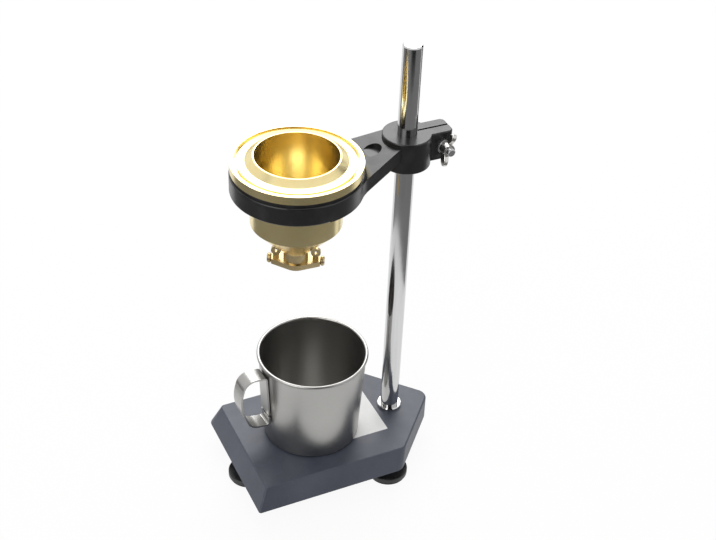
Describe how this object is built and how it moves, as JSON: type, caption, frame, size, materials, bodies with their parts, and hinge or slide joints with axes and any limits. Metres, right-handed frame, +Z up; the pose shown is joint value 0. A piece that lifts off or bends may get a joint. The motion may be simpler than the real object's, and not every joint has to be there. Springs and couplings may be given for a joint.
{
  "type": "flow cup viscometer",
  "caption": "Bench flow cup viscometer: brass cup with a screwed-on nozzle in a ring arm clamped to a column on a painted base with levelling feet, and a steel mug below",
  "frame": {"origin": "on the bench, under the middle of the footprint", "axes": "+Z up along the column, +X along the base from its blunt end towards the column, +Y across the base, away from the wing nut"},
  "size_m": [0.1438, 0.0956, 0.3016],
  "materials": {
    "base_paint": "painted, satin",
    "label_white": "matt",
    "column_chrome": "polished",
    "zinc_steel": "zinc plated",
    "arm_black": "semi-gloss paint",
    "wing_nickel": "bright nickel",
    "seat_black": "semi-gloss",
    "cup_brass": "turned, bright",
    "jet_brass": "turned, bright",
    "cap_brass": "satin",
    "gasket_rubber": "matt",
    "mug_steel": "satin, fine horizontal grain",
    "knob_black": "moulded",
    "foot_rubber": "matt"
  },
  "bodies": {
    "base": {"base_casting": "base_paint", "label_plate": "label_white"},
    "column": {"column": "column_chrome", "column_collar": "column_chrome", "column_washer": "zinc_steel", "column_nut": "zinc_steel"},
    "arm": {"support_arm": "arm_black", "clamp_bolt": "zinc_steel", "cup_seat_ring": "seat_black"},
    "washer": {"clamp_washer": "zinc_steel"},
    "wing_nut": {"clamp_wing_nut": "wing_nickel"},
    "cup": {"flow_cup": "cup_brass"},
    "jet": {"nozzle_jet": "jet_brass", "nozzle_gasket": "gasket_rubber"},
    "cap": {"nozzle_cap": "cap_brass", "nozzle_cap_pegs": "cap_brass"},
    "mug": {"mug_body": "mug_steel", "mug_handle": "mug_steel"},
    "foot_pad_end": {"foot_pad_end": "foot_rubber"},
    "foot_knob_end": {"foot_knob_end": "knob_black", "foot_stud_end": "zinc_steel"},
    "foot_pad_near": {"foot_pad_near": "foot_rubber"},
    "foot_knob_near": {"foot_knob_near": "knob_black", "foot_stud_near": "zinc_steel"},
    "foot_pad_far": {"foot_pad_far": "foot_rubber"},
    "foot_knob_far": {"foot_knob_far": "knob_black", "foot_stud_far": "zinc_steel"}
  },
  "joints": [
    {"name": "arm_swing", "type": "hinge", "parent": "base", "child": "column", "pos_m": [0.04439, 0, 0.0276], "axis": [0, 0, 1], "continuous": true},
    {"name": "arm_height", "type": "slide", "parent": "column", "child": "arm", "axis": [0, 0, 1], "range_m": [-0.062, 0.055]},
    {"name": "wing_nut_travel", "type": "slide", "parent": "arm", "child": "washer", "axis": [0, -1, 0], "range_m": [0, 0.003]},
    {"name": "wing_nut_turn", "type": "hinge", "parent": "washer", "child": "wing_nut", "pos_m": [0.06619, -0.0085, 0.2336], "axis": [0, -1, 0], "range_deg": [0, 1080]},
    {"name": "cup_lift", "type": "slide", "parent": "arm", "child": "cup", "axis": [0, 0, 1], "range_m": [0, 0.09]},
    {"name": "jet_drop", "type": "slide", "parent": "cup", "child": "jet", "axis": [0, 0, -1], "range_m": [0, 0.006]},
    {"name": "nozzle_cap_turn", "type": "hinge", "parent": "jet", "child": "cap", "pos_m": [-0.02611, 0, 0.16747], "axis": [0, 0, -1], "range_deg": [0, 2160]},
    {"name": "mug_slide", "type": "slide", "parent": "base", "child": "mug", "axis": [0, -1, 0], "range_m": [0, 0.09]},
    {"name": "foot_travel_end", "type": "slide", "parent": "base", "child": "foot_pad_end", "axis": [0, 0, -1], "range_m": [-0.003, 0.0035]},
    {"name": "foot_turn_end", "type": "hinge", "parent": "foot_pad_end", "child": "foot_knob_end", "pos_m": [-0.05881, 0, 0.0012], "axis": [0, 0, -1], "range_deg": [-1080, 1260]},
    {"name": "foot_travel_near", "type": "slide", "parent": "base", "child": "foot_pad_near", "axis": [0, 0, -1], "range_m": [-0.003, 0.0035]},
    {"name": "foot_turn_near", "type": "hinge", "parent": "foot_pad_near", "child": "foot_knob_near", "pos_m": [0.02819, -0.0339, 0.0012], "axis": [0, 0, -1], "range_deg": [-1080, 1260]},
    {"name": "foot_travel_far", "type": "slide", "parent": "base", "child": "foot_pad_far", "axis": [0, 0, -1], "range_m": [-0.003, 0.0035]},
    {"name": "foot_turn_far", "type": "hinge", "parent": "foot_pad_far", "child": "foot_knob_far", "pos_m": [0.02819, 0.0339, 0.0012], "axis": [0, 0, -1], "range_deg": [-1080, 1260]}
  ],
  "couplings": [
    {"joint": "wing_nut_travel", "follows": "wing_nut_turn", "m_per_rad": 0.00015915},
    {"joint": "jet_drop", "follows": "nozzle_cap_turn", "m_per_rad": 0.00015915},
    {"joint": "foot_travel_end", "follows": "foot_turn_end", "m_per_rad": 0.00015915},
    {"joint": "foot_travel_near", "follows": "foot_turn_near", "m_per_rad": 0.00015915},
    {"joint": "foot_travel_far", "follows": "foot_turn_far", "m_per_rad": 0.00015915}
  ]
}
